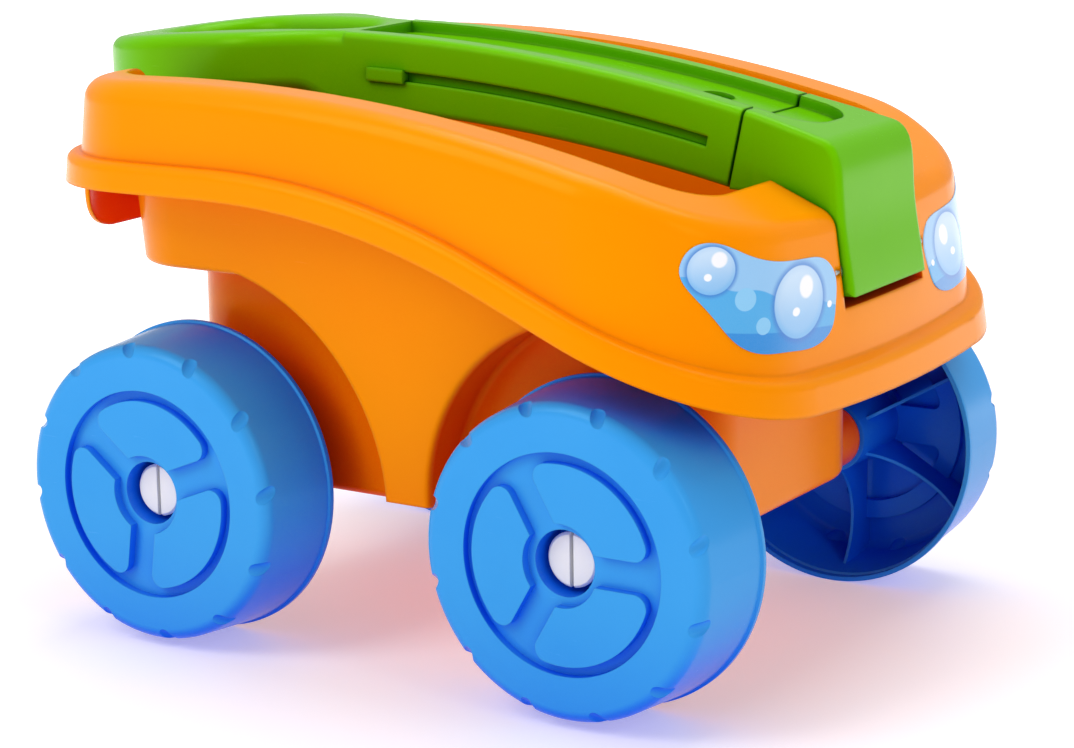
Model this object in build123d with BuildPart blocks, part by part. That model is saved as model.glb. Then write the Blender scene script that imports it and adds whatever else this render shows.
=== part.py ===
"""Kids' pull wagon: a moulded tub on four big wheels with a telescopic fold-over pull handle.

Frame: millimetres, +X towards the front, +Y to the wagon's left, +Z up.  The floor is z = 0.
Every piece is drawn about the point on the floor midway between the axles, and is then moved
by BODY_X, so that the origin lies under the middle of the whole wagon.
"""
from build123d import *
import os
from math import atan2, cos, degrees, radians, sin, sqrt

# ---------------------------------------------------------------- driving dimensions
FAR = 260.0               # cutting shapes reach this far, past every part of the wagon
SKY = 330.0               # and this high
BODY_X = 15.45            # midpoint between the axles, from the origin
WHEEL_R = 80.0            # rolling radius
WHEEL_W = 49.0            # width over the tread
WHEEL_FACE = 161.0        # outer face of a wheel, from the centre plane
WHEEL_BACK = WHEEL_FACE - WHEEL_W
AXLE_X = 121.7            # half the wheelbase
WALL = 2.6                # moulded wall of the tub
AXLE_R = 12.4
RUN = 0.08                # radial running clearance of wheels and axles

# upper skin of the tub: a lofted skirt between two level outlines
LOW_Z = 110.0
HIGH_Z = 310.0
SKIN_FRONT = (217.1, 189.1)     # front at LOW_Z and at HIGH_Z
SKIN_REAR = (-201.8, -184.3)
SKIN_HALF = (166.0, 148.5)
SKIN_FRONT_R = (86.0, 70.0)     # plan corner radii
SKIN_REAR_R = (62.0, 50.0)
SKIN_BOW = 14.0                 # how far the front edge bows out between its corners
REAR_BOW = 3.0
CREST_R = 985.0                 # long arc of the rim seen from the side
CREST_X = -104.0
CREST_Z = 285.2
CREST_END = 140.0               # the arc ends here and the rim drops faster
NOSE_SLOPE = 0.42
CREASE_R = 160.0
RIM_FILLET = 12.0
RIM_VOID_FILLET = 8.0
SADDLE_SHOULDER = 12.0

# lip round the lower edge of the skirt
LIP_OUT = 7.0
LIP_H = 14.5
LIP_REAR_Z = 231.5
LIP_KNEE = (4.0, 232.5)
LIP_SLOPE = 0.41
LIP_KNEE_R = 420.0
LIP_FILLET = 4.5

# lower body
BODY_BOTTOM = 73.0
KEEL_BOTTOM = 80.0
BODY_TOP = 310.0
WIDE_HALF = (112.0, 128.3)      # half width at KEEL_BOTTOM and BODY_TOP
WIDE_FRONT = (153.0, 175.0)
WIDE_REAR = (-164.0, -178.0)
WIDE_R = (36.0, 42.0)
NARROW_HALF = 88.0
NARROW_FRONT = 154.0
NARROW_REAR = -155.0
NARROW_R = 36.0
REAR_ARCH_R = 112.0
FRONT_ARCH_R = 105.6
ARCH_CEILING = 187.0
ARCH_FILLET = 3.0
FLOOR_FILLET = 5.0
TUNNEL_R = 17.0
TUNNEL_END = 111.6         # bosses that keep the wheels off the body
BODY_JOIN = 236.0
VOID_DROP = 25.0

# rear saddle for the handle and front slot for its hinge
SADDLE_Z = 254.0
SADDLE_HALF = 72.0
SADDLE_FILLET = 16.0
SADDLE_FLARE = 0.55             # how far each side leans out, per mm of height
SADDLE_SPAN = (-230.0, -135.0)
SLOT_HALF = 42.0
SLOT_BACK = 172.0
SLOT_FLOOR = 186.0
SLOT_SILL = 231.0
NOTCH_BACK = 140.0

# rear apron
APRON_HALF = 122.0
APRON_BOTTOM = 201.0
APRON_TOP = 244.2           # it meets the skirt above the lip
APRON_R = 26.0

# handle: a curved sleeve that slides on a curved arm, both about one far centre
ARC_R = 1112.0
ARC_X = -88.0
ARC_TOP = 299.6
ARC_Z = ARC_TOP - ARC_R
SLEEVE_H = 39.0
SLEEVE_HALF = 34.5
SLEEVE_WALL = 3.0
SLEEVE_FRONT = 146.4
SLEEVE_REAR = -84.0
JOINT_GAP = 1.6
CORE_GAP = 0.45
CORE_REAR = -72.0
CHANNEL_HALF = 23.0
CHANNEL_DEPTH = 5.6
CHANNEL_FRONT = 178.0
CHANNEL_END_R = 18.0
FINGER_HOLE = (116.0, 8.0)           # place along the sleeve and radius
LOOP_X = -192.0
LOOP_R = 58.0
LOOP_STRAIGHT = -150.0
LOOP_H = 30.0
LOOP_FILLET = 7.0
EASE = (-118.0, -92.0, -60.0)        # the underside eases between the first two; the loop's blank ends at the last
GRIP_HOLE = (-178.0, -115.0)         # centres of the round ends
GRIP_HOLE_R = (36.0, 23.0)
SLIDE_SLOT = (-69.0, 131.6)
SLIDE_SLOT_H = 5.0
SLIDE_SLOT_DOWN = 20.0
CATCH_LENGTH = 23.0
CATCH_H = 7.0
CATCH_PROUD = 2.0
CATCH_GAP = 0.3
HEAD_HALF = (40.2, 34.5)             # half width at the hinge and at the joint with the sleeve
HEAD_FILLET = 3.0
HINGE = (199.0, 203.0)
PIN_R = 4.0
PIN_HALF = 47.0

# headlight stickers, each laid on a plane facing DECAL_TURN degrees off straight ahead
DECAL_TURN = 50.0
DECAL_AT = (190.0, 111.6)
DECAL_THICKNESS = 0.4
DECAL_REACH = 60.0
DECAL_OUTLINE = ((30.5, 221.0), (22.0, 228.5), (12.0, 228.0), (0.0, 222.5), (-15.0, 217.0), (-33.0, 214.5),
                 (-44.0, 212.0), (-50.5, 204.0), (-50.5, 190.0), (-47.0, 179.0), (-38.0, 174.5),
                 (-22.0, 175.5), (-6.0, 177.5), (4.5, 182.5), (12.5, 191.0), (18.5, 198.5), (27.0, 208.0))

# wheel, drawn with its back plane at height 0 and its outer face at WHEEL_W
WHEEL_WALL = 2.5
DISC_R = 53.0
SHOULDER_R = 6.4
SHOULDER_TOP_R = 75.2
DISC_SINK = 4.2                 # disc inside the ring lies this much lower
LOBE_RISE = 4.8
LOBE_R = (20.0, 48.0)
SPOKE_HALF = 7.6
LOBE_CORNER = (4.0, 6.4)
HUB_R = 19.2
COUNTERBORE_R = 16.0
COUNTERBORE_DEPTH = 21.8
NOTCH_TURN = 15.0               # notches lie this far either side of a spoke line, and every 30 degrees
NOTCH_R = 75.4
NOTCH_DOWN = 1.6
NOTCH_LENGTH = 9.0
NOTCH_WIDTH = 7.6
NOTCH_SLANT = 24.0
NOTCH_TILT = 34.0
RIB_THICKNESS = 1.8
WHEEL_PHASE = {"front": 0.0, "rear": 22.0}

# axle
AXLE_END = 151.0
BEAD_R = 13.3
BEAD_START = 139.6
SLIT = 2.0
SLIT_DEPTH = 26.0
CROSS_WEB = 4.0
CROSS_END = 80.0


def top_z(x: float, drop: float = 0.0) -> float:
    """Height of the rim's long arc at x, lowered by drop."""
    return CREST_Z - CREST_R + sqrt((CREST_R - drop) ** 2 - (x - CREST_X) ** 2)


def lerp(pair: tuple, z: float, z0: float = LOW_Z, z1: float = HIGH_Z) -> float:
    """Value at height z of a size that changes evenly from z0 to z1."""
    return pair[0] + (pair[1] - pair[0]) * (z - z0) / (z1 - z0)


def outline(half: float, front: float, rear: float, front_r: float, rear_r: float) -> Sketch:
    """Level outline with bowed ends and rounded corners."""
    with BuildSketch() as plan:
        with BuildLine():
            side = Line((rear + REAR_BOW, -half), (front - SKIN_BOW, -half))
            ThreePointArc(side @ 1, (front, 0), (front - SKIN_BOW, half))
            Line((front - SKIN_BOW, half), (rear + REAR_BOW, half))
            ThreePointArc((rear + REAR_BOW, half), (rear, 0), side @ 0)
        make_face()
        fillet(plan.vertices().sort_by(Axis.X)[2:], front_r)
        fillet(plan.vertices().sort_by(Axis.X)[:2], rear_r)
    return plan.sketch


def skin_loft(inset: float) -> Part:
    """The skirt's outside, before its top and its lower edge are cut."""
    with BuildPart() as body:
        for level, z in enumerate((LOW_Z, HIGH_Z)):
            with BuildSketch(Plane.XY.offset(z)):
                add(outline(SKIN_HALF[level] - inset, SKIN_FRONT[level] - inset, SKIN_REAR[level] + inset,
                            SKIN_FRONT_R[level] - inset, SKIN_REAR_R[level] - inset))
        loft(ruled=True)
    return body.part


def side_region(inset: float, lowered: float) -> Sketch:
    """Side view between the lip's lower edge and the rim's top, drawn in XZ."""
    with BuildSketch(Plane.XZ) as side:
        with BuildLine():
            start = (-FAR, top_z(-FAR, inset))
            end = (CREST_END, top_z(CREST_END, inset))
            ThreePointArc(start, (CREST_X, CREST_Z - inset), end)
            nose = (FAR, end[1] - NOSE_SLOPE * (FAR - CREST_END))
            Line(end, nose)
            lip_end = (FAR, LIP_KNEE[1] - LIP_SLOPE * (FAR - LIP_KNEE[0]) - lowered)
            Line(nose, lip_end)
            FilletPolyline(lip_end, (LIP_KNEE[0], LIP_KNEE[1] - lowered), (-FAR, LIP_REAR_Z - lowered),
                           radius=LIP_KNEE_R)
            Line((-FAR, LIP_REAR_Z - lowered), start)
        make_face()
        crease = side.vertices().sort_by_distance((CREST_END, end[1], 0))[0]
        fillet(crease, CREASE_R)
    return side.sketch


def saddle_tool(inset: float) -> Part:
    """What the rear rim lacks, so that the folded handle can lie in it."""
    with BuildPart() as tool:
        with BuildSketch(Plane.YZ.offset(SADDLE_SPAN[0])) as dip:
            with BuildLine():
                low = SADDLE_Z - inset
                flare = (SKY - low) * SADDLE_FLARE
                Polyline((-SADDLE_HALF - inset, low), (SADDLE_HALF + inset, low),
                         (SADDLE_HALF + inset + flare, SKY), (-SADDLE_HALF - inset - flare, SKY), close=True)
            make_face()
            fillet(dip.vertices().sort_by(Axis.Y)[1:3], SADDLE_FILLET + inset)
        extrude(amount=SADDLE_SPAN[1] - SADDLE_SPAN[0])
    return tool.part


def lip_z(x: float) -> float:
    """Approximate height of the lip's lower edge at x."""
    return LIP_KNEE[1] - max(0.0, LIP_SLOPE * (x - LIP_KNEE[0]))


def on_outer_rim(edge: Edge) -> bool:
    """Whether an edge of the skirt runs round its top outer corner, saddle included."""
    middle = edge @ 0.5
    run = (edge @ 1) - (edge @ 0)
    if middle.Z < lip_z(middle.X) + 12.0 or edge.geom_type == GeomType.LINE:
        return False
    if abs(middle.Y) < 100.0 and -180.0 < middle.X < 190.0:
        return False
    upright = abs(run.Z) > 0.9 * run.length
    return not (upright and (abs(middle.Y) > 95.0 or middle.X > 100.0))


def skin(inset: float, lowered: float, rim_r: float) -> Part:
    """Skirt and rim as one closed solid, made smaller by inset, its top outer corner rounded."""
    with BuildPart() as body:
        add(skin_loft(inset))
        with BuildSketch(Plane.XZ):
            add(side_region(inset, lowered))
        extrude(amount=FAR, both=True, mode=Mode.INTERSECT)
        add(saddle_tool(inset), mode=Mode.SUBTRACT)
        fillet(body.edges().filter_by(GeomType.ELLIPSE), SADDLE_SHOULDER - inset)
        fillet(body.edges().filter_by(on_outer_rim), rim_r)
    return body.part


def lip(inset: float, lowered: float) -> Part:
    """Outward step round the skirt's lower edge, made smaller by inset."""
    with BuildPart() as band:
        add(skin_loft(inset - LIP_OUT))
        with BuildSketch(Plane.XZ):
            with BuildLine():
                sections = []
                for shift in (-lowered, LIP_H - inset):
                    rear = (-FAR, LIP_REAR_Z + shift)
                    knee = (LIP_KNEE[0], LIP_KNEE[1] + shift)
                    front = (FAR, LIP_KNEE[1] - LIP_SLOPE * (FAR - LIP_KNEE[0]) + shift)
                    FilletPolyline(rear, knee, front, radius=LIP_KNEE_R)
                    sections.append((rear, front))
                Line(sections[0][0], sections[1][0])
                Line(sections[0][1], sections[1][1])
            make_face()
        extrude(amount=FAR, both=True, mode=Mode.INTERSECT)
        top = band.faces().filter_by(lambda f: f.normal_at().Z > 0.7)
        fillet(top.edges().filter_by(lambda e: abs((e @ 0.5).Y) > 1.0 or (e @ 0.5).X < -150.0
                                     or (e @ 0.5).X > 190.0), LIP_FILLET - inset)
    return band.part


def arch_profile(inset: float) -> Sketch:
    """Side view of the two wheel wells, open to the ends of the wagon."""
    ceiling = ARCH_CEILING + inset
    with BuildSketch(Plane.XZ) as wells:
        for x, radius in ((-AXLE_X, REAR_ARCH_R + inset), (AXLE_X, FRONT_ARCH_R + inset)):
            with Locations((x, WHEEL_R)):
                Circle(radius)
            with Locations((x + (150.0 if x > 0 else -150.0), min(ceiling, WHEEL_R + radius) - 100.0)):
                Rectangle(300.0, 200.0)
        with Locations((0.0, ceiling - 200.0)):
            Rectangle(700.0, 400.0, mode=Mode.INTERSECT)
    return wells.sketch


def body_block(inset: float, top: float) -> Part:
    """Lower body: a wide box over the wheel wells, a keel between them and a narrow middle."""
    with BuildPart() as block:
        for z in (KEEL_BOTTOM + inset, top):
            with BuildSketch(Plane.XY.offset(z)):
                half, front, rear, corner = (lerp(pair, z, KEEL_BOTTOM, BODY_TOP)
                                             for pair in (WIDE_HALF, WIDE_FRONT, WIDE_REAR, WIDE_R))
                with Locations(((front + rear) / 2, 0)):
                    RectangleRounded(front - rear - 2 * inset, 2 * (half - inset), corner - inset)
        loft(ruled=True)
        with BuildSketch(Plane.XZ):
            add(arch_profile(inset))
        extrude(amount=200.0, both=True, mode=Mode.SUBTRACT)
        low = BODY_BOTTOM + inset
        with BuildSketch(Plane.XY.offset(low)):
            with Locations(((NARROW_FRONT + NARROW_REAR) / 2, 0)):
                RectangleRounded(NARROW_FRONT - NARROW_REAR - 2 * inset, 2 * (NARROW_HALF - inset),
                                 NARROW_R - inset)
        extrude(amount=ARCH_CEILING + inset + 6.0 - low)
        fillet(block.edges().filter_by(on_recess_corner), ARCH_FILLET)
        fillet(block.faces().sort_by(Axis.Z)[0].edges(), FLOOR_FILLET)
    return block.part


def on_recess_corner(edge: Edge) -> bool:
    """Whether an edge is where a wheel well meets the narrow middle of the body."""
    middle = edge @ 0.5
    run = (edge @ 1) - (edge @ 0)
    upright = edge.geom_type == GeomType.LINE and abs(run.Z) > 0.9 * run.length
    return 95.0 < middle.Z < ARCH_CEILING + 1.0 and abs(middle.Y) < NARROW_HALF + 0.5 and not upright


def slot_tool(grow: float) -> Part:
    """Front slot in which the handle's hinge turns, with the notch in the rim above it."""
    with BuildPart() as tool:
        with BuildSketch(Plane.XZ):
            with BuildLine():
                Polyline((SLOT_BACK - grow, SLOT_FLOOR - grow), (FAR, SLOT_FLOOR - grow), (FAR, SKY),
                         (NOTCH_BACK - grow, SKY), (NOTCH_BACK - grow, SLOT_SILL - grow),
                         (SLOT_BACK - grow, SLOT_SILL - grow), close=True)
            make_face()
        extrude(amount=SLOT_HALF + grow, both=True)
    return tool.part


def apron() -> Part:
    """Flap hanging below the rear lip, on the skirt's own curve."""
    with BuildPart() as flap:
        add(skin_loft(0.0))
        add(skin_loft(WALL), mode=Mode.SUBTRACT)
        with BuildSketch(Plane.YZ.offset(-FAR)) as shape:
            with Locations((0, (APRON_BOTTOM + APRON_TOP) / 2)):
                Rectangle(2 * APRON_HALF, APRON_TOP - APRON_BOTTOM)
            fillet(shape.vertices().group_by(Axis.Y)[0], APRON_R)
        extrude(amount=110.0, mode=Mode.INTERSECT)
    return flap.part


def skirt_void() -> Part:
    """Space between the skirt and the lower body, open below."""
    with BuildPart() as void:
        add(skin(WALL, VOID_DROP, RIM_VOID_FILLET))
        add(lip(WALL, VOID_DROP))
        add(body_block(0.0, BODY_TOP), mode=Mode.SUBTRACT)
        add(slot_tool(WALL), mode=Mode.SUBTRACT)
    return void.part


# ---------------------------------------------------------------- tub
with BuildPart() as tub:
    add(skin(0.0, 0.0, RIM_FILLET))
    add(lip(0.0, 0.0))
    add(body_block(0.0, BODY_JOIN))
    add(skirt_void(), mode=Mode.SUBTRACT)
    add(slot_tool(0.0), mode=Mode.SUBTRACT)
    add(body_block(WALL, BODY_TOP), mode=Mode.SUBTRACT)
    add(apron())
    foot = BODY_BOTTOM + WALL / 2
    for side in (-1, 1):
        with Locations(Location((side * AXLE_X, 0, WHEEL_R), (90, 0, 0))):
            Cylinder(TUNNEL_R, 2 * TUNNEL_END)
        with Locations((side * AXLE_X, 0, (foot + WHEEL_R) / 2)):
            Box(2 * TUNNEL_R, 2 * (NARROW_HALF - WALL), WHEEL_R - foot)
    for side in (-1, 1):
        with Locations(Location((side * AXLE_X, 0, WHEEL_R), (90, 0, 0))):
            Cylinder(AXLE_R + RUN, 2 * FAR, mode=Mode.SUBTRACT)
    with Locations(Location((HINGE[0], 0, HINGE[1]), (90, 0, 0))):
        Cylinder(PIN_R, 2 * PIN_HALF, mode=Mode.SUBTRACT)


# ---------------------------------------------------------------- headlight stickers
def decal(side: int) -> Part:
    """Headlight sticker on a front corner of the skirt, following its curve; side is 1 for left."""
    angle = radians(DECAL_TURN)
    face = Plane(origin=(DECAL_AT[0], side * DECAL_AT[1], 0), x_dir=(-sin(angle), side * cos(angle), 0),
                 z_dir=(side * cos(angle), sin(angle), 0))
    with BuildPart() as film:
        add(skin_loft(-DECAL_THICKNESS))
        add(skin_loft(0.0), mode=Mode.SUBTRACT)
        with BuildSketch(face):
            with BuildLine():
                Spline(*DECAL_OUTLINE, periodic=True)
            make_face()
        extrude(amount=DECAL_REACH, both=True, mode=Mode.INTERSECT)
    return film.part


# ---------------------------------------------------------------- wheels and axles
def wheel_outline(inset: float) -> Sketch:
    """Half section of a wheel's outside, made smaller by inset, drawn as (radius, height)."""
    top = WHEEL_W - inset
    with BuildSketch(Plane.XZ) as section:
        with BuildLine():
            Polyline((0, -inset), (WHEEL_R - inset, -inset), (WHEEL_R - inset, 2.5 + inset / 2),
                     (WHEEL_R - 1.2 - inset, 3.2 + inset / 2), (SHOULDER_TOP_R - inset, top), (0, top), close=True)
        make_face()
        fillet(section.vertices().group_by(Axis.Y)[-1].sort_by(Axis.X)[-1], SHOULDER_R - inset / 2)
    return section.sketch


def lobes(inset: float) -> Sketch:
    """Three raised fields between the spokes, each made smaller by inset."""
    with BuildSketch() as fields:
        Circle(LOBE_R[1] - inset)
        Circle(LOBE_R[0] + inset, mode=Mode.SUBTRACT)
        with PolarLocations(LOBE_R[1] / 2, 3):
            Rectangle(LOBE_R[1] + 10.0, 2 * (SPOKE_HALF + inset), mode=Mode.SUBTRACT)
        inner = fields.vertices().filter_by(lambda v: sqrt(v.X ** 2 + v.Y ** 2) < 30.0)
        outer = fields.vertices().filter_by(lambda v: sqrt(v.X ** 2 + v.Y ** 2) > 30.0)
        fillet(outer, LOBE_CORNER[1] - inset)
        fillet(inner, LOBE_CORNER[0] - inset)
    return fields.sketch


def notches(grow: float) -> Part:
    """Twelve slanted drops lying in the shoulder, made thicker by grow."""
    radius = NOTCH_WIDTH / 2 + grow
    with BuildPart() as drops:
        with PolarLocations(NOTCH_R, 12, start_angle=NOTCH_TURN):
            with Locations(Location((0, 0, WHEEL_W - NOTCH_DOWN), (NOTCH_SLANT, -NOTCH_TILT, 0))):
                Cylinder(radius, NOTCH_LENGTH)
                with Locations((0, 0, NOTCH_LENGTH / 2), (0, 0, -NOTCH_LENGTH / 2)):
                    Sphere(radius)
    return drops.part


def rib() -> Part:
    """Thin upright rib from the hub to the rim, its free edge hollowed."""
    inner = HUB_R - 1.0
    with BuildPart() as blade:
        with BuildSketch(Plane.XZ):
            with BuildLine():
                Polyline((inner, 6.0), (inner, WHEEL_W), (WHEEL_R, WHEEL_W), (WHEEL_R, 12.0))
                ThreePointArc((WHEEL_R, 12.0), (50.0, 26.0), (inner, 6.0))
            make_face()
        extrude(amount=RIB_THICKNESS / 2, both=True)
    return blade.part


def wheel_void(disc: float) -> Part:
    """Hollow inside a wheel whose disc lies at height disc, with the hub and the ribs left standing."""
    with BuildPart() as void:
        add(wheel_outline(WHEEL_WALL))
        revolve(axis=Axis.Z)
        with BuildSketch(Plane.XY.offset(disc - WHEEL_WALL)):
            Circle(DISC_R + WHEEL_WALL)
        extrude(amount=DISC_SINK + WHEEL_WALL, mode=Mode.SUBTRACT)
        add(notches(WHEEL_WALL), mode=Mode.SUBTRACT)
        with BuildSketch(Plane.XY):
            Circle(HUB_R)
        extrude(amount=WHEEL_W, mode=Mode.SUBTRACT)
        with PolarLocations(0, 6, start_angle=30.0):
            add(rib(), mode=Mode.SUBTRACT)
    return void.part


def wheel() -> Part:
    """Hollow moulded wheel, open at the back, with a hub tube and six ribs."""
    disc = WHEEL_W - DISC_SINK
    with BuildPart() as body:
        add(wheel_outline(0.0))
        revolve(axis=Axis.Z)
        with BuildSketch(Plane.XY.offset(disc)):
            Circle(DISC_R)
        extrude(amount=DISC_SINK, mode=Mode.SUBTRACT)
        with BuildSketch(Plane.XY.offset(disc)):
            add(lobes(0.0))
        extrude(amount=LOBE_RISE)
        add(wheel_void(disc), mode=Mode.SUBTRACT)
        with BuildSketch(Plane.XY.offset(disc - WHEEL_WALL)):
            add(lobes(WHEEL_WALL))
        extrude(amount=LOBE_RISE, mode=Mode.SUBTRACT)
        add(notches(0.0), mode=Mode.SUBTRACT)
        Cylinder(AXLE_R + RUN, 3 * WHEEL_W, mode=Mode.SUBTRACT)
        with BuildSketch(Plane.XY.offset(WHEEL_W - COUNTERBORE_DEPTH)):
            Circle(COUNTERBORE_R)
        extrude(amount=WHEEL_W, mode=Mode.SUBTRACT)
    return body.part


def axle() -> Part:
    """Axle drawn along Z: round bearing ends with split snap beads, and a cross-shaped middle."""
    with BuildPart() as shaft:
        Cylinder(AXLE_R, 2 * AXLE_END)
        with BuildSketch(Plane.XY) as webs:
            Circle(AXLE_R + 1.0)
            Rectangle(2 * AXLE_R + 4.0, CROSS_WEB, mode=Mode.SUBTRACT)
            Rectangle(CROSS_WEB, 2 * AXLE_R + 4.0, mode=Mode.SUBTRACT)
        extrude(amount=CROSS_END, both=True, mode=Mode.SUBTRACT)
        for side in (-1, 1):
            with Locations((0, 0, side * (AXLE_END + BEAD_START) / 2)):
                Cylinder(BEAD_R, AXLE_END - BEAD_START)
        chamfer(shaft.edges().filter_by(lambda e: abs(e.center().Z) > AXLE_END - 0.1), 1.2)
        for side in (-1, 1):
            with Locations((0, 0, side * (AXLE_END - SLIT_DEPTH / 2 + 1.0))):
                Box(SLIT, 60.0, SLIT_DEPTH + 2.0, mode=Mode.SUBTRACT)
    return shaft.part


# ---------------------------------------------------------------- handle
def turn(x: float) -> float:
    """Angle round the handle's far centre at which its top arc stands over x, in degrees."""
    return degrees(atan2(x - ARC_X, sqrt(ARC_R ** 2 - (x - ARC_X) ** 2)))


def arc_point(x: float, radius: float) -> tuple:
    """Point (x, z) at a radius from the far centre, on the spoke through the top arc at x."""
    angle = radians(turn(x))
    return (ARC_X + radius * sin(angle), ARC_Z + radius * cos(angle))


def cross_plane(x: float) -> Plane:
    """Plane square to the handle's arc at x, drawn as (y, radius from the far centre)."""
    angle = radians(turn(x))
    return Plane(origin=(ARC_X, 0, ARC_Z), x_dir=(0, 1, 0), z_dir=(cos(angle), 0, -sin(angle)))


def arc_axis() -> Axis:
    """Axis the handle's arcs share."""
    return Axis((ARC_X, 0, ARC_Z), (0, 1, 0))


def tube_section(inset: float) -> Sketch:
    """Sleeve section, with the channel in its top, made smaller by inset."""
    high = ARC_R - inset
    low = ARC_R - SLEEVE_H + inset
    half = SLEEVE_HALF - inset
    with BuildSketch() as section:
        with Locations((0, (high + low) / 2)):
            Rectangle(2 * half, high - low)
        fillet(section.vertices(), max(3.5 - inset, 0.6))
        with Locations((0, high)):
            Rectangle(2 * (CHANNEL_HALF + inset), 2 * CHANNEL_DEPTH, mode=Mode.SUBTRACT)
    return section.sketch


def along_arc(section: Sketch, start: float, end: float) -> Part:
    """A handle section carried along the arc from x = start to x = end."""
    with BuildPart() as bar:
        with BuildSketch(cross_plane(start)):
            add(section)
        revolve(axis=arc_axis(), revolution_arc=turn(end) - turn(start))
    return bar.part


def side_band(down: float, height: float, start: float, end: float, depth: float) -> Part:
    """A strip across the handle, height tall, down below its top arc, from start to end."""
    with BuildSketch() as strip:
        with Locations((0, ARC_R - down)):
            Rectangle(2 * depth, height)
    return along_arc(strip.sketch, start, end)


with BuildPart() as handle_grip:
    neck = (SLEEVE_REAR + 2.0, SLEEVE_HALF)
    with BuildSketch(Plane.XY):
        with BuildLine():
            swell = Spline((neck[0], -neck[1]), (LOOP_STRAIGHT, -LOOP_R), tangents=((-1, 0), (-1, 0)))
            side = Line(swell @ 1, (LOOP_X, -LOOP_R))
            bow = ThreePointArc(side @ 1, (LOOP_X - LOOP_R, 0), (LOOP_X, LOOP_R))
            far_side = Line(bow @ 1, (LOOP_STRAIGHT, LOOP_R))
            Spline(far_side @ 1, neck, tangents=((1, 0), (1, 0)))
            Line(neck, (neck[0], -neck[1]))
        make_face()
    extrude(amount=SKY)
    with BuildSketch(Plane.XZ):
        with BuildLine():
            front, rear = turn(EASE[2]), turn(-FAR)
            top_arc = CenterArc((ARC_X, ARC_Z), ARC_R, 90.0 - front, front - rear)
            low_arc = CenterArc((ARC_X, ARC_Z), ARC_R - LOOP_H, 90.0 - turn(EASE[0]), turn(EASE[0]) - rear)
            Line(top_arc @ 1, low_arc @ 1)
            ease = CenterArc((ARC_X, ARC_Z), ARC_R - SLEEVE_H, 90.0 - front, front - turn(EASE[1]))
            Spline(low_arc @ 0, ease @ 1, tangents=(low_arc % 0 * -1, (ease % 1) * -1))
            Line(ease @ 0, top_arc @ 0)
        make_face()
    extrude(amount=2 * LOOP_R, both=True, mode=Mode.INTERSECT)
    with BuildSketch(Plane.XY) as opening:
        for end, radius in zip(GRIP_HOLE, GRIP_HOLE_R):
            with Locations((end, 0)):
                Circle(radius)
        make_hull()
    extrude(amount=SKY, mode=Mode.SUBTRACT)
    rims = handle_grip.edges().filter_by(lambda e: (e @ 0.5).X < SLEEVE_REAR - 6.0 and e.length > 20.0
                                         and abs((e @ 0).Z - (e @ 1).Z) < 0.9 * e.length)
    fillet(rims, LOOP_FILLET)
    add(along_arc(tube_section(0.0), SLEEVE_REAR - 1.0, SLEEVE_FRONT))
    add(along_arc(tube_section(SLEEVE_WALL), SLEEVE_REAR + 6.0, SLEEVE_FRONT + 5.0), mode=Mode.SUBTRACT)
    add(side_band(SLIDE_SLOT_DOWN, SLIDE_SLOT_H, SLIDE_SLOT[0], SLIDE_SLOT[1], 2 * SLEEVE_HALF), mode=Mode.SUBTRACT)
    hole_x, hole_z = arc_point(FINGER_HOLE[0], ARC_R - CHANNEL_DEPTH)
    with Locations((hole_x, 0, hole_z)):
        Cylinder(FINGER_HOLE[1], 2 * (SLEEVE_WALL + 1.0), mode=Mode.SUBTRACT)


def channel_end(start: float) -> Part:
    """Rounded front end of the channel, from x = start."""
    with BuildSketch() as trough:
        with Locations((0, ARC_R)):
            Rectangle(2 * CHANNEL_HALF, 2 * CHANNEL_DEPTH)
    with BuildPart() as end:
        add(along_arc(trough.sketch, start, CHANNEL_FRONT + CHANNEL_HALF))
        with BuildSketch(Plane.XY):
            with Locations((CHANNEL_FRONT - 2 * CHANNEL_HALF, 0)):
                RectangleRounded(4 * CHANNEL_HALF, 2 * CHANNEL_HALF, CHANNEL_END_R)
        extrude(amount=SKY, mode=Mode.INTERSECT)
    return end.part


def on_head_corner(edge: Edge) -> bool:
    """Whether an edge of the handle's lower end runs along its outer side corner."""
    middle = edge @ 0.5
    return abs(middle.Y) > 34.0 and middle.X > 150.0 and (middle.Z > 258.0 or middle.X > 201.0)


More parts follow.
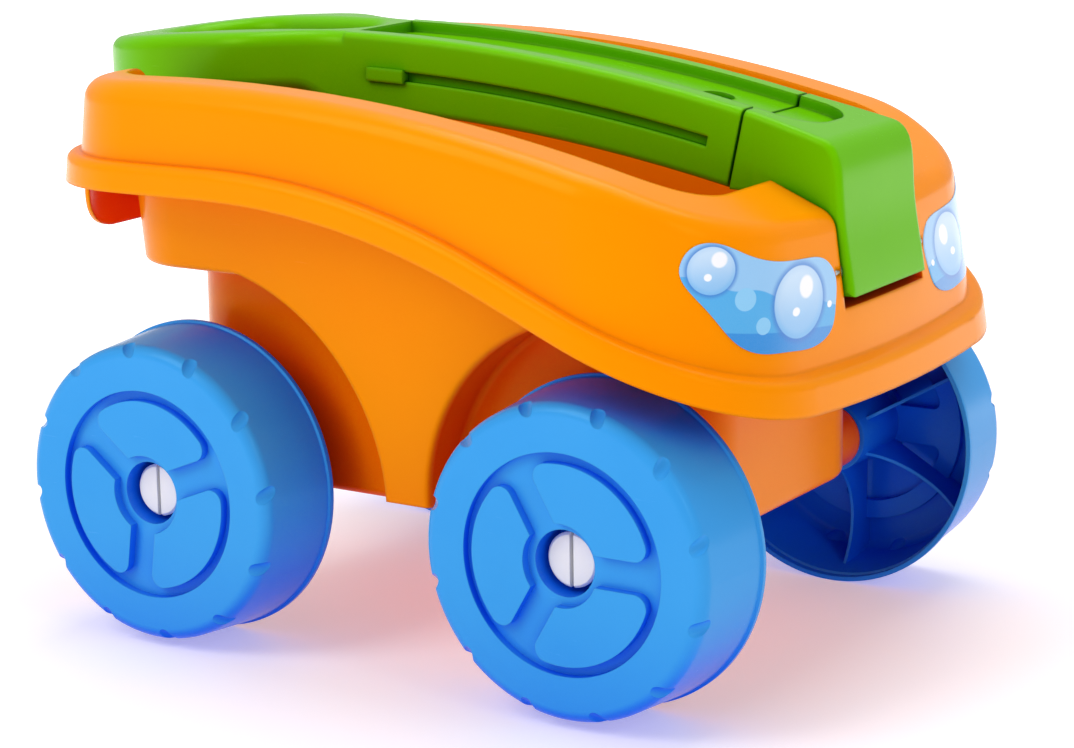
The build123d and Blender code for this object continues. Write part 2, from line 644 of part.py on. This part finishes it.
with BuildPart() as handle_arm:
    core = SLEEVE_WALL + CORE_GAP
    head_start = SLEEVE_FRONT + JOINT_GAP
    with BuildSketch(Plane.XZ) as head_side:
        with BuildLine():
            crown = CenterArc((ARC_X, ARC_Z), ARC_R, 90.0 - turn(190.4), turn(190.4) - turn(head_start))
            brow = Spline(crown @ 0, (202.0, 235.0), (208.6, 191.0), tangents=(crown % 0 * -1, (0.13, -1.0)))
            front = Polyline(brow @ 1, (194.0, 190.6), (187.0, 198.0), (177.0, 232.6), (169.0, 235.6))
            Polyline(front @ 1, arc_point(head_start, ARC_R - SLEEVE_H), crown @ 1)
        make_face()
    extrude(amount=HEAD_HALF[0], both=True)
    with BuildSketch(Plane.XY) as head_plan:
        with BuildLine():
            Polyline((140.0, -HEAD_HALF[1]), (head_start + 4.0, -HEAD_HALF[1]), (196.0, -HEAD_HALF[0]),
                     (212.0, -HEAD_HALF[0]), (212.0, HEAD_HALF[0]), (196.0, HEAD_HALF[0]),
                     (head_start + 4.0, HEAD_HALF[1]), (140.0, HEAD_HALF[1]), close=True)
        make_face()
    extrude(amount=SKY, mode=Mode.INTERSECT)
    fillet(handle_arm.edges().filter_by(on_head_corner), HEAD_FILLET)
    add(along_arc(tube_section(core), CORE_REAR, head_start + 6.0))
    add(channel_end(head_start - 1.0), mode=Mode.SUBTRACT)
    add(along_arc(tube_section(core + SLEEVE_WALL), CORE_REAR - 5.0, head_start + 10.0), mode=Mode.SUBTRACT)
    with Locations(Location((HINGE[0], 0, HINGE[1]), (90, 0, 0))):
        Cylinder(PIN_R + RUN, FAR, mode=Mode.SUBTRACT)


def catch_caps(reach: float) -> Part:
    """The two caps of the catches, outside the sleeve, reach being their outer face."""
    with BuildPart() as caps:
        add(side_band(SLIDE_SLOT_DOWN, CATCH_H, SLIDE_SLOT[0], SLIDE_SLOT[0] + CATCH_LENGTH, reach))
        Box(2 * FAR, 2 * (SLEEVE_HALF + CATCH_GAP), 4 * FAR, mode=Mode.SUBTRACT)
    return caps.part


def slide_catch(side: int) -> Part:
    """Tab on the arm's side that shows through the sleeve's slot; side is 1 for left."""
    inner = SLEEVE_HALF - SLEEVE_WALL - CORE_GAP
    reach = SLEEVE_HALF + CATCH_GAP + CATCH_PROUD
    with BuildPart() as tab:
        add(side_band(SLIDE_SLOT_DOWN, SLIDE_SLOT_H - 2 * CATCH_GAP, SLIDE_SLOT[0] + CATCH_GAP,
                      SLIDE_SLOT[0] + CATCH_LENGTH, reach))
        add(catch_caps(reach))
        Box(2 * FAR, 2 * inner, 4 * FAR, mode=Mode.SUBTRACT)
        with Locations((0, -side * FAR, 0)):
            Box(2 * FAR, 2 * FAR, 4 * FAR, mode=Mode.SUBTRACT)
    return tab.part


with BuildPart() as hinge_pin:
    Cylinder(PIN_R, 2 * PIN_HALF)
    chamfer(hinge_pin.edges(), 0.8)


# ---------------------------------------------------------------- export
os.makedirs("parts", exist_ok=True)
across = {"left": -90.0, "right": 90.0}
placed = {
    "tub": tub.part,
    "handle_grip": handle_grip.part,
    "handle_arm": handle_arm.part,
    "slide_catch_left": slide_catch(1),
    "slide_catch_right": slide_catch(-1),
    "headlight_decal_left": decal(1),
    "headlight_decal_right": decal(-1),
    "hinge_pin": Location((HINGE[0], 0, HINGE[1]), (90, 0, 0)) * hinge_pin.part,
}
one_wheel = wheel()
one_axle = axle()
for end, x in (("front", AXLE_X), ("rear", -AXLE_X)):
    placed[end + "_axle"] = Location((x, 0, WHEEL_R), (90, 0, 0)) * one_axle
    for side, sign in (("left", 1), ("right", -1)):
        spun = Location((0, 0, 0), (0, 0, WHEEL_PHASE[end])) * one_wheel
        place = Location((x, sign * WHEEL_BACK, WHEEL_R), (-90.0 * sign, 0, 0))
        placed["wheel_" + end + "_" + side] = place * spun
for name, piece in placed.items():
    piece = Location((BODY_X, 0, 0)) * piece
    piece.label = name
    export_step(piece, "parts/" + name + ".step")
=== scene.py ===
"""Studio scene for the kids' pull wagon: moulded plastic finishes, soft light and a camera.

The wagon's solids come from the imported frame, in metres, with +X to the front, +Y to the
wagon's left and +Z up.  Everything here is placed from those solids.
"""
import logging
import math
from dataclasses import dataclass, field
from enum import Enum
from typing import Union

import bpy
from mathutils import Matrix, Vector


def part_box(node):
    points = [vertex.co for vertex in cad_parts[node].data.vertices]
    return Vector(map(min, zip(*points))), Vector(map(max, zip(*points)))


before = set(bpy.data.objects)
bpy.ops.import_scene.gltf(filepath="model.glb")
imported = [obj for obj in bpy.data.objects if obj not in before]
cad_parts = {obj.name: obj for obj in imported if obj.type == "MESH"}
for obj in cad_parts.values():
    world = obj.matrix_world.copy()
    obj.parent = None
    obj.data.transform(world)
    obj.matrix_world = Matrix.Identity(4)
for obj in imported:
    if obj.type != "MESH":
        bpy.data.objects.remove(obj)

log = logging.getLogger("wagon")
MM = 0.001
Number = Union[float, "Value"]
Rgb = tuple[float, float, float]


def linear(red: int, green: int, blue: int) -> Rgb:
    """Colour on a 0 to 255 screen scale as a linear colour.

    Args:
        red, green, blue: the screen values.

    Returns:
        The linear red, green and blue, each 0 to 1.
    """
    return tuple((c / 255 / 12.92) if c <= 10 else ((c / 255 + 0.055) / 1.055) ** 2.4
                 for c in (red, green, blue))


class Maths(Enum):
    """The operations of a Math node that the finishes use."""

    ADD = "ADD"
    SUBTRACT = "SUBTRACT"
    MULTIPLY = "MULTIPLY"
    DIVIDE = "DIVIDE"
    ABSOLUTE = "ABSOLUTE"
    SINE = "SINE"
    ROOT = "SQRT"


# ---------------------------------------------------------------- shader expressions
class Value:
    """A number that varies over a surface; arithmetic on it adds Math nodes."""

    def __init__(self, shader: "Shader", socket: bpy.types.NodeSocket) -> None:
        """Wraps an output socket of a node in shader's tree."""
        self.shader = shader
        self.socket = socket

    def _math(self, operation: Maths, *operands: Number) -> "Value":
        """Result of one Math node."""
        settings = {"operation": operation.value}
        node = self.shader.node("ShaderNodeMath", settings, dict(enumerate(operands)))
        return Value(self.shader, node.outputs[0])

    def __add__(self, other: Number) -> "Value":
        """Sum."""
        return self._math(Maths.ADD, self, other)

    def __radd__(self, other: float) -> "Value":
        """Sum with a number on the left."""
        return self._math(Maths.ADD, other, self)

    def __sub__(self, other: Number) -> "Value":
        """Difference."""
        return self._math(Maths.SUBTRACT, self, other)

    def __rsub__(self, other: float) -> "Value":
        """Difference from a number."""
        return self._math(Maths.SUBTRACT, other, self)

    def __mul__(self, other: Number) -> "Value":
        """Product."""
        return self._math(Maths.MULTIPLY, self, other)

    def __rmul__(self, other: float) -> "Value":
        """Product with a number on the left."""
        return self._math(Maths.MULTIPLY, other, self)

    def __truediv__(self, other: Number) -> "Value":
        """Quotient."""
        return self._math(Maths.DIVIDE, self, other)

    def __abs__(self) -> "Value":
        """Size without its sign."""
        return self._math(Maths.ABSOLUTE, self)

    def sine(self) -> "Value":
        """Sine of the number, in radians."""
        return self._math(Maths.SINE, self)

    def root(self) -> "Value":
        """Square root."""
        return self._math(Maths.ROOT, self)

    def step(self, low: float, high: float) -> "Value":
        """A smooth step.

        Args:
            low: where the step is 0.
            high: where it is 1; it may lie below low.

        Returns:
            The step, from 0 to 1.
        """
        settings = {"interpolation_type": "SMOOTHSTEP"}
        up = high > low
        ends = {"From Min": min(low, high), "From Max": max(low, high),
                "To Min": 0.0 if up else 1.0, "To Max": 1.0 if up else 0.0, "Value": self}
        node = self.shader.node("ShaderNodeMapRange", settings, ends)
        return Value(self.shader, node.outputs["Result"])


class Colour:
    """A colour that varies over a surface."""

    def __init__(self, shader: "Shader", socket: bpy.types.NodeSocket) -> None:
        """Wraps a colour output socket."""
        self.shader = shader
        self.socket = socket

    def toward(self, other: Union[Rgb, "Colour"], amount: Number) -> "Colour":
        """This colour changed towards another.

        Args:
            other: the other colour.
            amount: how far, from 0 to 1.

        Returns:
            The new colour.
        """
        return self.shader.mixed(self, other, amount)


class Shader:
    """One material's node tree, with a single method that makes any node."""

    def __init__(self, name: str) -> None:
        """Starts a material with only its Principled shader."""
        self.material = bpy.data.materials.new(name)
        self.material.use_nodes = True
        self.tree = self.material.node_tree
        self.surface = next(n for n in self.tree.nodes if n.type == "BSDF_PRINCIPLED")
        self.place = self.node("ShaderNodeTexCoord", {}, {}).outputs["Object"]

    def node(self, kind: str, settings: dict, inputs: dict) -> bpy.types.Node:
        """Makes a node.

        Args:
            kind: the node's type name.
            settings: its properties, set before its sockets.
            inputs: socket name or number to a number, colour, Value, Colour or output socket.

        Returns:
            The node.
        """
        made = self.tree.nodes.new(kind)
        for key, setting in settings.items():
            setattr(made, key, setting)
        for key, given in inputs.items():
            self.feed(made.inputs[key], given)
        return made

    def feed(self, socket: bpy.types.NodeSocket, given: object) -> None:
        """Links or sets one input socket."""
        if isinstance(given, (Value, Colour)):
            given = given.socket
        if isinstance(given, bpy.types.NodeSocket):
            self.tree.links.new(given, socket)
        elif isinstance(given, tuple) and socket.type == "RGBA" and len(given) == 3:
            socket.default_value = (*given, 1.0)
        else:
            socket.default_value = given

    def mixed(self, first: Union[Rgb, Colour], second: Union[Rgb, Colour], amount: Number) -> Colour:
        """Two colours mixed by amount."""
        node = self.node("ShaderNodeMix", {"data_type": "RGBA"}, {0: amount, 6: first, 7: second})
        return Colour(self, node.outputs[2])

    def axes(self) -> tuple[Value, Value, Value]:
        """Place on the piece at rest, in millimetres along X, Y and Z."""
        scaled = self.node("ShaderNodeVectorMath", {"operation": "SCALE"}, {0: self.place, "Scale": 1 / MM})
        split = self.node("ShaderNodeSeparateXYZ", {}, {0: scaled.outputs[0]})
        return tuple(Value(self, out) for out in split.outputs)

    def noise(self, size: float, detail: float = 2.0, stretch: Rgb = (1.0, 1.0, 1.0),
              rough: float = 0.5) -> Value:
        """Cloudy noise from 0 to 1.

        Args:
            size: width of one cloud, in metres.
            detail: how many finer layers it has.
            stretch: scale along each axis; a small number draws the clouds out.
            rough: strength of the finer layers.

        Returns:
            The noise.
        """
        where = self.node("ShaderNodeVectorMath", {"operation": "MULTIPLY"}, {0: self.place, 1: stretch})
        inputs = {"Vector": where.outputs[0], "Scale": 1 / size, "Detail": detail, "Roughness": rough}
        node = self.node("ShaderNodeTexNoise", {"noise_dimensions": "3D"}, inputs)
        return Value(self, node.outputs[0])

    def painted_shade_mask(self, reach: float) -> Value:
        """Mask for painted shade: how closed in a place is, from 0 in the open to 1 deep in a recess of
        size reach.
        """
        node = self.node("ShaderNodeAmbientOcclusion", {"samples": 8}, {"Distance": reach})
        return 1 - Value(self, node.outputs["AO"])

    def relief(self, height: Value, depth: float, edge: float = 0.0) -> None:
        """Raises the surface by height, over edges rounded to a radius.

        Args:
            height: the relief, from 0 to 1.
            depth: its full height, in metres.
            edge: radius of the rounding, in metres.
        """
        inputs = {"Height": height, "Distance": depth, "Strength": 1.0}
        if edge > 0:
            inputs["Normal"] = self.node("ShaderNodeBevel", {"samples": 6}, {"Radius": edge}).outputs[0]
        self.feed(self.surface.inputs["Normal"], self.node("ShaderNodeBump", {}, inputs).outputs[0])

    def set(self, **sockets: object) -> None:
        """Sets sockets of the Principled shader; an underscore in a name stands for a space."""
        for key, given in sockets.items():
            self.feed(self.surface.inputs[key.replace("_", " ")], given)


# ---------------------------------------------------------------- finishes
@dataclass(frozen=True)
class MouldedPlastic:
    """Glossy coloured plastic as it leaves a polished mould, with shade painted into its hollows.

    Fields:
        name: the material's name.
        colour: the plastic's own colour.
        depth: the colour that thick or shaded flow marks lean to.
        painted_hollow_shade: the saturated shade colour painted into hollows of this plastic, standing in
            for light that deepens in colour there.
        sheen: tint of its reflections where they are seen squarely.
        gloss: the mean roughness.
        streak: axis scales of the flow marks.
        edge: radius to which sharp edges look rounded, in metres.
        painted_shade_reach: size of the hollows that get the painted shade colour, in metres.
        specular: level of its reflections.
        cloud_size, flow_size, grain_size, peel_size: sizes of the uneven gloss, the flow marks, the
            fine grain and the orange peel, in metres.
        hair_size, hair_run: width of hairline scuffs, in metres, and their axis scales.
        relief_depth: depth of grain and peel, in metres.
    """

    name: str
    colour: Rgb
    depth: Rgb
    painted_hollow_shade: Rgb
    sheen: Rgb
    gloss: float = 0.21
    streak: Rgb = (0.35, 1.0, 1.0)
    edge: float = 0.0009
    painted_shade_reach: float = 0.14
    specular: float = 0.22
    cloud_size: float = 0.11
    flow_size: float = 0.035
    grain_size: float = 0.0011
    peel_size: float = 0.009
    hair_size: float = 0.0012
    hair_run: Rgb = (0.05, 1.0, 0.6)
    relief_depth: float = 0.00006

    def build(self) -> bpy.types.Material:
        """Makes the material."""
        shader = Shader(self.name)
        clouds = shader.noise(self.cloud_size, 3.0)
        flow = shader.noise(self.flow_size, 4.0, self.streak, 0.6)
        grain = shader.noise(self.grain_size, 2.0)
        peel = shader.noise(self.peel_size, 2.0)
        hairs = shader.noise(self.hair_size, 3.0, self.hair_run, 0.7)
        scuff = hairs.step(0.66, 0.74) * clouds.step(0.45, 0.7)
        marks = clouds.step(0.3, 0.75) * 0.22 + flow.step(0.4, 0.8) * 0.10
        base = shader.mixed(self.colour, self.depth, marks)
        paler = tuple(min(1.0, c * 0.85 + 0.15) for c in self.colour)
        base = base.toward(paler, scuff * 0.08)
        # Painted shade: the colour turns to the saturated shade colour where ambient occlusion finds a
        # recess.
        base = base.toward(self.painted_hollow_shade, shader.painted_shade_mask(self.painted_shade_reach).step(0.26, 0.80) * 0.95)
        dull = (clouds - 0.5) * 0.10 + scuff * 0.12 + grain * 0.03
        shader.set(Base_Color=base, Roughness=self.gloss + dull,
                   Specular_IOR_Level=self.specular, Specular_Tint=self.sheen)
        shader.relief(peel * 0.6 + grain * 0.4, self.relief_depth, self.edge)
        return shader.material


@dataclass(frozen=True)
class TurnedPlastic:
    """Plain white plastic of an axle, with faint rings from turning in its bores."""

    name: str = "white_axle_plastic"
    colour: Rgb = (0.86, 0.86, 0.87)

    def build(self) -> bpy.types.Material:
        """Makes the material."""
        shader = Shader(self.name)
        rings = shader.noise(0.002, 3.0, (0.08, 1.0, 0.08))
        clouds = shader.noise(0.02, 3.0)
        shader.set(Base_Color=shader.mixed(self.colour, (0.72, 0.73, 0.76), clouds.step(0.4, 0.8) * 0.3),
                   Roughness=0.34 + rings * 0.14)
        shader.relief(rings, 0.00005, 0.0006)
        return shader.material


@dataclass(frozen=True)
class DrawnSteel:
    """Steel rod with fine lines along its length."""

    name: str = "drawn_steel"

    def build(self) -> bpy.types.Material:
        """Makes the material."""
        shader = Shader(self.name)
        lines = shader.noise(0.0007, 4.0, (1.0, 0.03, 1.0))
        shader.set(Base_Color=shader.mixed((0.55, 0.55, 0.57), (0.36, 0.36, 0.38), lines),
                   Metallic=1.0, Roughness=0.28 + lines * 0.2)
        shader.relief(lines, 0.00003)
        return shader.material


@dataclass(frozen=True)
class Drop:
    """One round or oval shape of the printed headlight, in millimetres.

    Fields:
        across, up: its centre, across the sticker and above the floor.
        half_across, half_up: its half sizes.
    """

    across: float
    up: float
    half_across: float
    half_up: float

    def distance(self, u: Value, z: Value) -> Value:
        """Distance from the centre, 1 on the shape's edge."""
        first = (u - self.across) / self.half_across
        second = (z - self.up) / self.half_up
        return (first * first + second * second).root()


@dataclass(frozen=True)
class HeadlightPrint:
    """Printed film with two glossy lamps over bands of blue.

    Fields:
        corner_x, corner_y: the point of the sticker that across = 0 passes through, in millimetres.
        turn: how far the sticker faces away from straight ahead, in degrees.
    """

    corner_x: float
    corner_y: float
    turn: float = 50.0
    name: str = "headlight_print"
    lamps: tuple[Drop, ...] = (Drop(-16.5, 216.6, 11.4, 10.6), Drop(28.5, 196.2, 14.2, 16.0))
    shines: tuple[Drop, ...] = (Drop(-12.6, 221.2, 3.9, 3.6), Drop(-18.3, 213.8, 1.9, 1.7),
                                Drop(33.0, 202.0, 4.1, 5.2), Drop(26.5, 192.2, 2.2, 2.0),
                                Drop(46.6, 191.0, 1.4, 1.6))
    bubbles: tuple[Drop, ...] = (Drop(-0.4, 202.4, 5.4, 5.2), Drop(8.2, 189.4, 3.8, 3.9))

    def build(self) -> bpy.types.Material:
        """Makes the material."""
        shader = Shader(self.name)
        x, y, z = shader.axes()
        turn = math.radians(self.turn)
        u = (x - self.corner_x) * math.sin(turn) - (abs(y) - self.corner_y) * math.cos(turn)
        wave = z + u * 0.30 - (u * 0.22).sine() * 1.3
        deep = z + u * 0.13
        print_colour = shader.mixed(linear(146, 200, 244), linear(66, 172, 234), wave.step(206.6, 205.8))
        print_colour = print_colour.toward(linear(6, 140, 222), deep.step(187.6, 187.0))
        for lamp in self.lamps:
            reach = lamp.distance(u, z)
            fall = ((z - lamp.up) / lamp.half_up).step(0.9, -0.9)
            print_colour = print_colour.toward(linear(36, 118, 208), reach.step(1.22, 1.0) * 0.8)
            fill = shader.mixed(linear(200, 226, 250), linear(118, 186, 240),
                                fall * 0.8 + reach.step(0.75, 1.0) * 0.2)
            print_colour = print_colour.toward(fill, reach.step(1.02, 0.98))
        for bubble in self.bubbles:
            inside = bubble.distance(u, z).step(1.03, 0.94)
            print_colour = print_colour.toward(linear(136, 204, 246), inside)
        for shine in self.shines:
            print_colour = print_colour.toward((0.96, 0.97, 1.0), shine.distance(u, z).step(1.12, 0.82))
        dots = shader.noise(0.0006, 1.0)
        film = shader.noise(0.012, 3.0)
        print_colour = print_colour.toward((0.9, 0.95, 1.0), dots * 0.05)
        shader.set(Base_Color=print_colour, Roughness=0.16 + film * 0.10,
                   Coat_Weight=0.4, Coat_Roughness=0.08)
        shader.relief(film, 0.00005)
        return shader.material


# ---------------------------------------------------------------- sub-assemblies
@dataclass
class SubAssembly:
    """A group of the wagon's pieces that is dressed together."""

    nodes: tuple[str, ...]

    def finish_for(self, node: str) -> bpy.types.Material:
        """The material of a node."""
        raise NotImplementedError

    def dress(self) -> None:
        """Gives every node of the group its finish."""
        for node in self.nodes:
            material = self.finish_for(node)
            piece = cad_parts[node]
            for slot in piece.material_slots:
                slot.material = material
            log.info("%s dressed in %s", node, material.name)


@dataclass
class Tub(SubAssembly):
    """Moulded tub with its two headlight stickers."""

    nodes: tuple[str, ...] = ("tub", "headlight_decal_left", "headlight_decal_right")
    corner_ahead_of_axles: float = 190.0
    corner_out: float = 111.6

    def __post_init__(self) -> None:
        """Makes the group's finishes."""
        middle = sum((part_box(n)[0].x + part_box(n)[1].x) / 2 for n in ("front_axle", "rear_axle")) / 2
        # The hollow colour below is shade painted into the tub's recesses.
        self.plastic = MouldedPlastic(
            "orange_plastic", colour=linear(252, 147, 0), depth=linear(249, 130, 0),
            painted_hollow_shade=linear(246, 56, 0), sheen=(1.0, 0.55, 0.05), edge=0.0028).build()
        self.film = HeadlightPrint(self.corner_ahead_of_axles + middle / MM, self.corner_out).build()

    def finish_for(self, node: str) -> bpy.types.Material:
        """Printed film for the stickers and orange plastic for the tub."""
        return self.film if "decal" in node else self.plastic


@dataclass
class RunningGear(SubAssembly):
    """Four hollow wheels on two axles."""

    nodes: tuple[str, ...] = ("wheel_front_left", "wheel_front_right", "wheel_rear_left",
                              "wheel_rear_right", "front_axle", "rear_axle")

    def __post_init__(self) -> None:
        """Makes the group's finishes."""
        # The hollow colour below is shade painted into the wheels' recesses.
        self.plastic = MouldedPlastic(
            "blue_plastic", colour=linear(60, 159, 232), depth=linear(34, 142, 224),
            painted_hollow_shade=linear(0, 92, 236), sheen=(0.35, 0.75, 1.0),
            gloss=0.22, streak=(1.0, 0.5, 1.0), edge=0.0009).build()
        self.white = TurnedPlastic().build()

    def finish_for(self, node: str) -> bpy.types.Material:
        """White plastic for the axles and blue for the wheels."""
        return self.white if "axle" in node else self.plastic


@dataclass
class Handle(SubAssembly):
    """Telescopic handle with its catches and hinge pin."""

    nodes: tuple[str, ...] = ("handle_grip", "handle_arm", "slide_catch_left", "slide_catch_right",
                              "hinge_pin")

    def __post_init__(self) -> None:
        """Makes the group's finishes."""
        # The hollow colour below is shade painted into the handle's recesses.
        self.plastic = MouldedPlastic(
            "green_plastic", colour=linear(106, 190, 0), depth=linear(92, 176, 0),
            painted_hollow_shade=linear(40, 124, 0), sheen=(0.5, 1.0, 0.06),
            gloss=0.22, streak=(0.3, 1.0, 1.0), edge=0.0026).build()
        self.steel = DrawnSteel().build()

    def finish_for(self, node: str) -> bpy.types.Material:
        """Steel for the pin and green plastic for the rest."""
        return self.steel if node == "hinge_pin" else self.plastic


# ---------------------------------------------------------------- studio
@dataclass
class Lamp:
    """A soft rectangular light.

    Fields:
        name: its name.
        place: where it stands, in metres.
        size: width and height, in metres.
        power: its power, in watts.
        tint: its colour.
    """

    name: str
    place: Rgb
    size: tuple[float, float]
    power: float
    tint: Rgb = (1.0, 1.0, 1.0)

    def build(self, target: Vector) -> None:
        """Makes the light and turns it to target."""
        data = bpy.data.lights.new(self.name, "AREA")
        data.shape = "RECTANGLE"
        data.size, data.size_y = self.size
        data.energy = self.power
        data.color = self.tint
        lamp = bpy.data.objects.new(self.name, data)
        lamp.location = self.place
        lamp.rotation_euler = (Vector(self.place) - target).to_track_quat("Z", "Y").to_euler()
        bpy.context.scene.collection.objects.link(lamp)


@dataclass
class Studio:
    """Pale floor with a painted glow, white surround, soft lights and the camera.

    Fields:
        azimuth, elevation: the camera's direction from the wagon, in degrees.
        distance: the camera's distance from its target, in metres.
        roll: the camera's turn about its own line of sight, in degrees.
        lens: focal length, in millimetres on a 36 mm sensor.
        target: what it looks at, in millimetres from the floor point midway between the axles.
        floor_size: side of the floor, in metres.
        surround: strength of the light from all round.
        painted_floor_glow: light painted into the floor as emission near the wagon, a dim pinkish glow that
            lifts its shadow; it is white far away.
        painted_glow_reach: distances between which the painted floor glow turns white, in metres.
        lamps: the soft lights.
    """

    azimuth: float = 32.55
    elevation: float = 13.19
    distance: float = 1.536
    roll: float = -0.79
    lens: float = 97.84
    target: Rgb = (-5.44, 20.96, 117.9)
    floor_size: float = 14.0
    painted_floor_glow: Rgb = (0.36, 0.32, 0.33)
    painted_glow_reach: tuple[float, float] = (0.5, 1.6)
    surround: float = 0.5
    lamps: tuple[Lamp, ...] = field(default_factory=lambda: (
        Lamp("key_light", (-0.8, -1.6, 1.7), (1.0, 1.3), 19.5, (1.0, 0.99, 0.97)),
        Lamp("front_light", (2.0, -0.9, 1.2), (0.5, 0.9), 5.5, (0.97, 0.985, 1.0)),
        Lamp("top_light", (0.0, 0.5, 2.2), (1.8, 1.4), 26.0)))

    def build(self) -> None:
        """Makes the whole studio."""
        self.make_floor()
        self.make_surround()
        ends = [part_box(n) for n in ("front_axle", "rear_axle")]
        middle = sum(low.x + high.x for low, high in ends) / 4
        aim = Vector(self.target) * MM + Vector((middle, 0, 0))
        for lamp in self.lamps:
            lamp.build(aim)
        self.make_camera(aim)

    def make_floor(self) -> None:
        """Makes the pale floor that the wagon stands on, with light painted into it as emission."""
        half = self.floor_size / 2
        mesh = bpy.data.meshes.new("floor")
        corners = [(-half, -half, 0), (half, -half, 0), (half, half, 0), (-half, half, 0)]
        mesh.from_pydata(corners, [], [(0, 1, 2, 3)])
        floor = bpy.data.objects.new("floor", mesh)
        bpy.context.scene.collection.objects.link(floor)
        shader = Shader("pale_floor")
        clouds = shader.noise(0.5, 2.0)
        x, y, _ = shader.axes()
        # Painted light: the floor glows dim and pinkish near the wagon, lifting its shadow, and full white
        # far away.
        away = ((x * x + y * y).root() * MM).step(self.painted_glow_reach[0], self.painted_glow_reach[1])
        shader.set(Base_Color=shader.mixed((0.82, 0.80, 0.81), (0.80, 0.785, 0.80), clouds),
                   Roughness=0.42 + clouds * 0.08, Specular_IOR_Level=0.25, Emission_Strength=1.0,
                   Emission_Color=shader.mixed(self.painted_floor_glow, (1.0, 1.0, 1.0), away))
        mesh.materials.append(shader.material)

    def make_surround(self) -> None:
        """Makes the even white light from all round."""
        world = bpy.data.worlds.new("surround")
        world.use_nodes = True
        tree = world.node_tree
        sky = tree.nodes["Background"]
        seen = tree.nodes.new("ShaderNodeLightPath")
        power = tree.nodes.new("ShaderNodeMapRange")
        power.inputs["To Min"].default_value = self.surround
        power.inputs["To Max"].default_value = 1.0
        tree.links.new(seen.outputs["Is Camera Ray"], power.inputs["Value"])
        tree.links.new(power.outputs["Result"], sky.inputs["Strength"])
        sky.inputs["Color"].default_value = (1.0, 1.0, 1.0, 1.0)
        bpy.context.scene.world = world
        bpy.context.scene.view_settings.view_transform = "Standard"

    def make_camera(self, aim: Vector) -> None:
        """Makes the camera, looking at aim."""
        turn, rise = math.radians(self.azimuth), math.radians(self.elevation)
        back = Vector((math.sin(turn) * math.cos(rise), -math.cos(turn) * math.cos(rise), math.sin(rise)))
        data = bpy.data.cameras.new("camera")
        data.lens = self.lens
        data.sensor_width = 36.0
        camera = bpy.data.objects.new("camera", data)
        level = back.to_track_quat("Z", "Y").to_matrix().to_4x4()
        tilt = Matrix.Rotation(math.radians(self.roll), 4, "Z")
        camera.matrix_world = Matrix.Translation(aim + back * self.distance) @ level @ tilt
        bpy.context.scene.collection.objects.link(camera)
        bpy.context.scene.camera = camera


def main() -> None:
    """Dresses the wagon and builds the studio."""
    logging.basicConfig(level=logging.INFO, format="%(name)s: %(message)s")
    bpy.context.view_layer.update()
    for group in (Tub(), RunningGear(), Handle()):
        group.dress()
    Studio().build()
    log.info("studio built")


if __name__ == "__main__":
    main()
